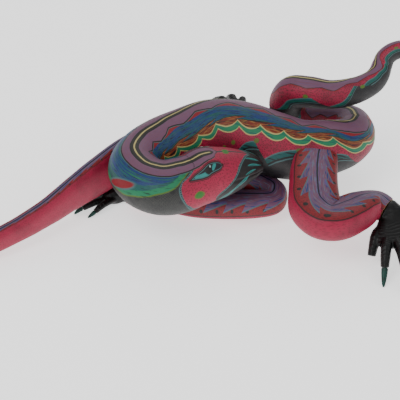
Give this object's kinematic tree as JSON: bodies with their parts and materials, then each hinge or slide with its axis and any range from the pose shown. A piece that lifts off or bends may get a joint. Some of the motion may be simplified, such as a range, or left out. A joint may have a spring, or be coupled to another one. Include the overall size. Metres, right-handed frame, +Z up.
{
  "type": "carved wooden lizard figure",
  "caption": "Long carved and painted wooden lizard with a back-turned head, coiled pull-off tail, splayed legs, black hands and feet and teal claws",
  "frame": {"origin": "middle of the figure's box, on the surface it stands on", "axes": "+Z up; the body walks towards -X and its left side faces -Y; +X is towards the tail"},
  "size_m": [0.5764, 0.363, 0.1507],
  "materials": {
    "painted_body": "semi-matt acrylic paint in fine bands of crimson, mauve, blue, teal, green, yellow and charcoal over sanded wood",
    "painted_leg": "semi-matt acrylic paint, crimson with mauve and blue flames and a dark middle line",
    "black_lacquer": "semi-gloss black paint over carved wood",
    "teal_lacquer": "semi-gloss teal paint",
    "bare_wood": "bare pale wood, glued"
  },
  "bodies": {
    "figure": {"torso": "painted_body", "head": "painted_body", "neck_dowel": "bare_wood", "front_left_leg": "painted_leg", "front_left_foot": "black_lacquer", "front_left_leg_dowel": "bare_wood", "front_left_foot_dowel": "bare_wood", "front_left_claw_1": "teal_lacquer", "front_left_claw_2": "teal_lacquer", "front_left_claw_3": "teal_lacquer", "front_left_claw_4": "teal_lacquer", "front_left_claw_5": "teal_lacquer", "front_right_leg": "painted_leg", "front_right_foot": "black_lacquer", "front_right_leg_dowel": "bare_wood", "front_right_foot_dowel": "bare_wood", "front_right_claw_1": "teal_lacquer", "front_right_claw_2": "teal_lacquer", "front_right_claw_3": "teal_lacquer", "front_right_claw_4": "teal_lacquer", "front_right_claw_5": "teal_lacquer", "hind_left_leg": "painted_leg", "hind_left_foot": "black_lacquer", "hind_left_leg_dowel": "bare_wood", "hind_left_foot_dowel": "bare_wood", "hind_left_claw_2": "teal_lacquer", "hind_left_claw_3": "teal_lacquer", "hind_left_claw_4": "teal_lacquer", "hind_left_claw_5": "teal_lacquer", "hind_right_leg": "painted_leg", "hind_right_foot": "black_lacquer", "hind_right_leg_dowel": "bare_wood", "hind_right_foot_dowel": "bare_wood", "hind_right_claw_2": "teal_lacquer", "hind_right_claw_3": "teal_lacquer", "hind_right_claw_4": "teal_lacquer", "hind_right_claw_5": "teal_lacquer"},
    "tail": {"tail": "painted_body", "tail_peg": "bare_wood"}
  },
  "joints": [
    {"name": "tail_pull", "type": "slide", "parent": "figure", "child": "tail", "axis": [0, 1, 0], "range_m": [0, 0.06]}
  ]
}
